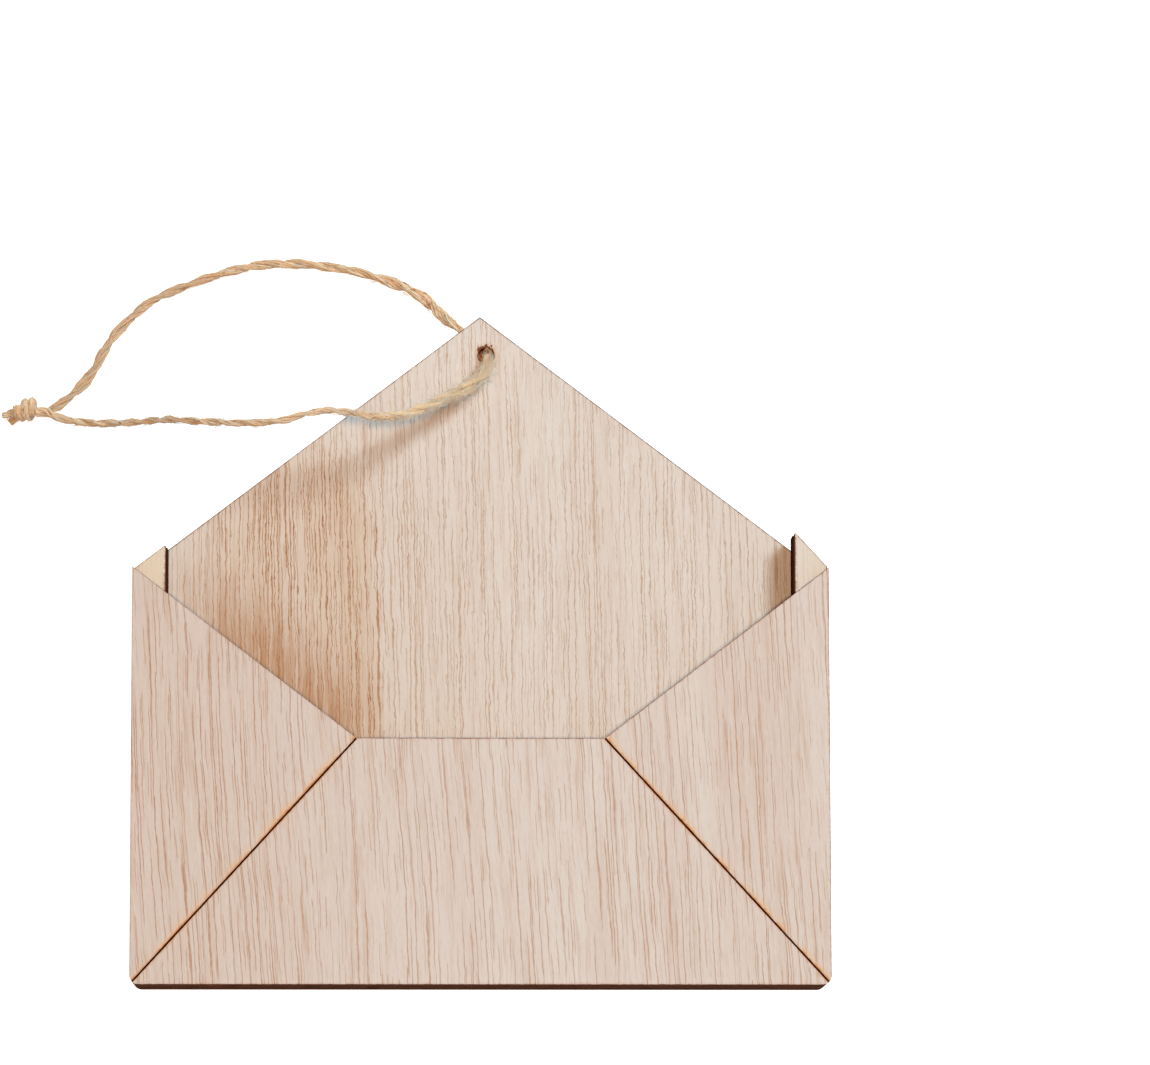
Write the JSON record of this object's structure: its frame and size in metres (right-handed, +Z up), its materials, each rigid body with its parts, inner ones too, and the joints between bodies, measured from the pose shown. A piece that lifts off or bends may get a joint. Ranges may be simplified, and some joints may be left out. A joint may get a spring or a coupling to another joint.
{
  "type": "gift card holder",
  "caption": "Flat envelope-shaped holder of laser-cut plywood, with an open card pocket, a pointed flap and a knotted loop of jute twine through its point.",
  "frame": {"origin": "middle of the wooden holder's footprint, on the table it lies on", "axes": "+X to the right along the lower edge, +Y from the lower edge towards the flap's point, +Z up out of the front; the holder leans back 0.93 degrees on its own twine"},
  "size_m": [0.1199, 0.1073, 0.0239],
  "materials": {
    "plywood": "matte, unfinished veneer with scorched cut edges",
    "plywood_strip": "matte, unfinished veneer with scorched cut edges",
    "jute": "matte, rough two-strand twine with loose fibres"
  },
  "bodies": {
    "envelope": {"back_panel": "plywood", "left_spacer_lower": "plywood_strip", "left_spacer_upper": "plywood_strip", "right_spacer_lower": "plywood_strip", "right_spacer_upper": "plywood_strip", "bottom_spacer_lower": "plywood_strip", "bottom_spacer_upper": "plywood_strip", "front_left": "plywood", "front_right": "plywood", "front_bottom": "plywood"},
    "hanging_loop": {"twine_front_run": "jute", "twine_back_run": "jute", "twine_knot": "jute"}
  },
  "joints": [
    {"name": "loop_swing", "type": "hinge", "parent": "envelope", "child": "hanging_loop", "pos_m": [0.0009, 0.04326, 0.003], "axis": [0, -0.0163, 0.9999], "range_deg": [-180, 0]}
  ]
}
